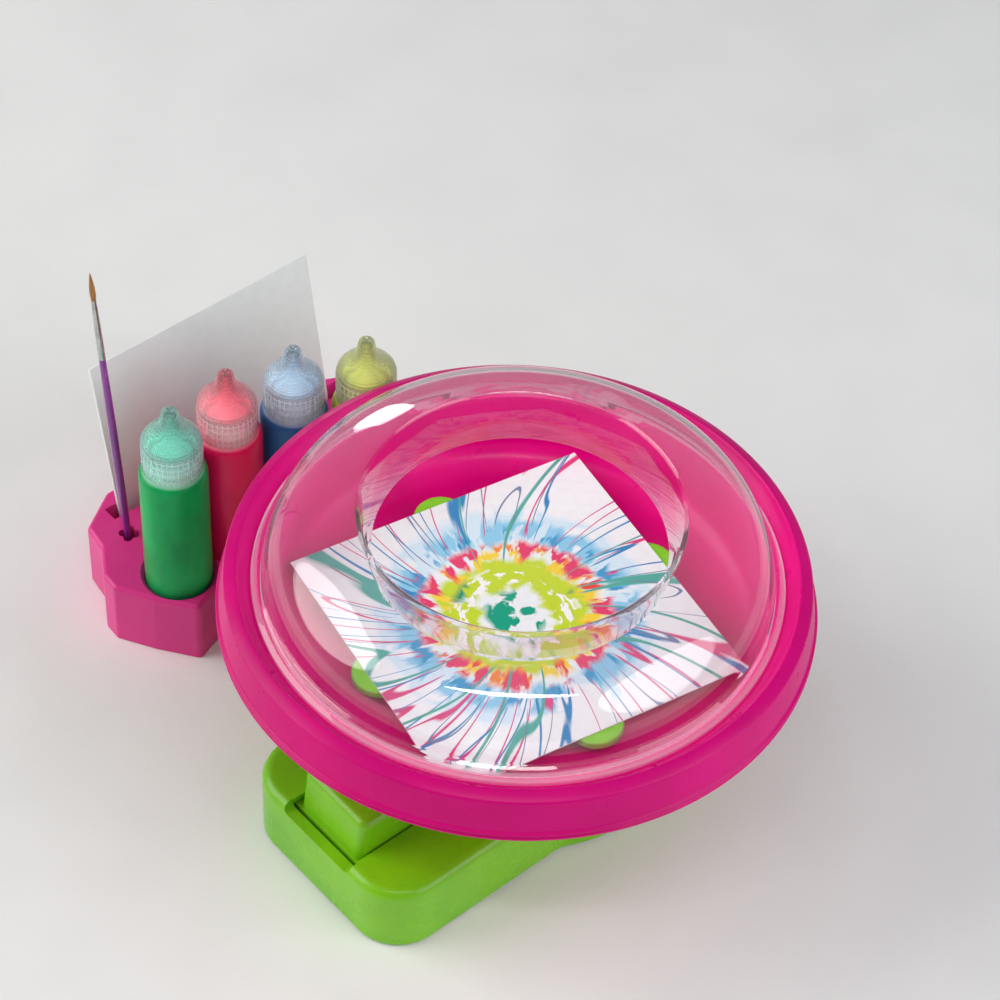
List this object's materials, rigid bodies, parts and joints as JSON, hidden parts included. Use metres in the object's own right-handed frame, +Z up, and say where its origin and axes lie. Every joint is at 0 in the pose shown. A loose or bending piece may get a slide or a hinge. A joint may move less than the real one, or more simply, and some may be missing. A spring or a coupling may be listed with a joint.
{
  "type": "spin_art_machine",
  "caption": "Spin art machine: a press lever spins a card in a magenta bowl under a clear cover, with a rack of paint bottles, a brush and spare cards beside it.",
  "frame": {"origin": "on the table under the turntable's spindle, on the underside of the middle grip pad", "axes": "+Z up along the spindle; -Y towards the press lever; -X towards the paint rack"},
  "size_m": [0.2726, 0.196, 0.1535],
  "materials": {
    "green_plastic": "gloss",
    "magenta_plastic": "gloss",
    "clear_plastic": "clear",
    "dark_rubber": "matte",
    "white_gear_plastic": "satin",
    "steel": "satin",
    "brass": "satin",
    "white_card": "matte",
    "green_paint_bottle": "gloss",
    "pink_paint_bottle": "gloss",
    "blue_paint_bottle": "gloss",
    "yellow_paint_bottle": "gloss",
    "soft_nozzle_plastic": "translucent",
    "purple_wood": "lacquered",
    "ferrule_metal": "polished",
    "brush_hair": "matte"
  },
  "bodies": {
    "machine": {"base_shell": "green_plastic", "base_bottom": "green_plastic", "grip_pads": "dark_rubber", "base_screws": "steel", "gear_frame_inner": "steel", "gear_frame_outer": "steel", "frame_spacers": "steel", "frame_screws": "steel", "gear_axle": "steel", "lever_pivot_pin": "steel", "lower_bush": "brass", "upper_bush": "brass", "catch_bowl": "magenta_plastic", "bowl_screws": "steel", "return_spring": "steel"},
    "lever": {"press_lever": "green_plastic"},
    "input": {"input_pinion": "white_gear_plastic", "clutch_pawls": "white_gear_plastic"},
    "drive": {"drive_gear": "white_gear_plastic", "ratchet_wheel": "white_gear_plastic"},
    "crown": {"crown_gear": "white_gear_plastic", "crown_pinion": "white_gear_plastic", "crown_shaft": "steel"},
    "spinner": {"turntable": "green_plastic", "spindle": "steel", "spindle_pinion": "white_gear_plastic", "hub_screw": "steel", "art_card": "white_card"},
    "cover": {"splash_cover": "clear_plastic"},
    "rack": {"paint_rack": "magenta_plastic"},
    "brush": {"brush_handle": "purple_wood", "brush_ferrule": "ferrule_metal", "brush_bristles": "brush_hair"},
    "cards": {"spare_cards": "white_card"},
    "paint_green": {"bottle_green": "green_paint_bottle", "nozzle_green": "soft_nozzle_plastic"},
    "lid_green": {"cap_green": "clear_plastic"},
    "paint_pink": {"bottle_pink": "pink_paint_bottle", "nozzle_pink": "soft_nozzle_plastic"},
    "lid_pink": {"cap_pink": "clear_plastic"},
    "paint_blue": {"bottle_blue": "blue_paint_bottle", "nozzle_blue": "soft_nozzle_plastic"},
    "lid_blue": {"cap_blue": "clear_plastic"},
    "paint_yellow": {"bottle_yellow": "yellow_paint_bottle", "nozzle_yellow": "soft_nozzle_plastic"},
    "lid_yellow": {"cap_yellow": "clear_plastic"}
  },
  "joints": [
    {"name": "lever_press", "type": "hinge", "parent": "machine", "child": "lever", "pos_m": [0.024, 0.00816, 0.01], "axis": [1, 0, 0], "range_deg": [0, 8.3], "stiffness_Nm_per_rad": 0.9, "springref_deg": -8.59, "deforming": ["return_spring"]},
    {"name": "input_turn", "type": "hinge", "parent": "machine", "child": "input", "pos_m": [0.022, -0.0144, 0.0268], "axis": [1, 0, 0], "range_deg": [-29.05, 0]},
    {"name": "turntable_spin", "type": "hinge", "parent": "machine", "child": "spinner", "pos_m": [0, 0, 0.06], "axis": [0, 0, 1], "continuous": true},
    {"name": "crown_spin", "type": "hinge", "parent": "machine", "child": "crown", "pos_m": [0.012, 0, 0.046], "axis": [1, 0, 0], "continuous": true},
    {"name": "drive_spin", "type": "hinge", "parent": "machine", "child": "drive", "pos_m": [0.016, -0.0144, 0.0268], "axis": [1, 0, 0], "continuous": true},
    {"name": "cover_lift", "type": "slide", "parent": "machine", "child": "cover", "axis": [0, 0, 1], "range_m": [0, 0.06]},
    {"name": "rack_slide", "type": "slide", "parent": "machine", "child": "rack", "axis": [-1, 0, 0], "range_m": [0, 0.08]},
    {"name": "brush_lift", "type": "slide", "parent": "rack", "child": "brush", "axis": [-0.0175, -0.0417, 0.999], "range_m": [0, 0.024]},
    {"name": "cards_lift", "type": "slide", "parent": "rack", "child": "cards", "axis": [-0.1891, 0, 0.982], "range_m": [0, 0.026]},
    {"name": "bottle_lift_green", "type": "slide", "parent": "rack", "child": "paint_green", "axis": [0, 0, 1], "range_m": [0, 0.025]},
    {"name": "cap_lift_green", "type": "slide", "parent": "paint_green", "child": "lid_green", "axis": [0, 0, 1], "range_m": [0, 0.026]},
    {"name": "bottle_lift_pink", "type": "slide", "parent": "rack", "child": "paint_pink", "axis": [0, 0, 1], "range_m": [0, 0.025]},
    {"name": "cap_lift_pink", "type": "slide", "parent": "paint_pink", "child": "lid_pink", "axis": [0, 0, 1], "range_m": [0, 0.026]},
    {"name": "bottle_lift_blue", "type": "slide", "parent": "rack", "child": "paint_blue", "axis": [0, 0, 1], "range_m": [0, 0.025]},
    {"name": "cap_lift_blue", "type": "slide", "parent": "paint_blue", "child": "lid_blue", "axis": [0, 0, 1], "range_m": [0, 0.026]},
    {"name": "bottle_lift_yellow", "type": "slide", "parent": "rack", "child": "paint_yellow", "axis": [0, 0, 1], "range_m": [0, 0.025]},
    {"name": "cap_lift_yellow", "type": "slide", "parent": "paint_yellow", "child": "lid_yellow", "axis": [0, 0, 1], "range_m": [0, 0.026]}
  ],
  "couplings": [
    {"joint": "input_turn", "follows": "lever_press", "ratio": -3.5},
    {"joint": "crown_spin", "follows": "turntable_spin", "ratio": -0.33333},
    {"joint": "drive_spin", "follows": "turntable_spin", "ratio": 0.11111}
  ]
}
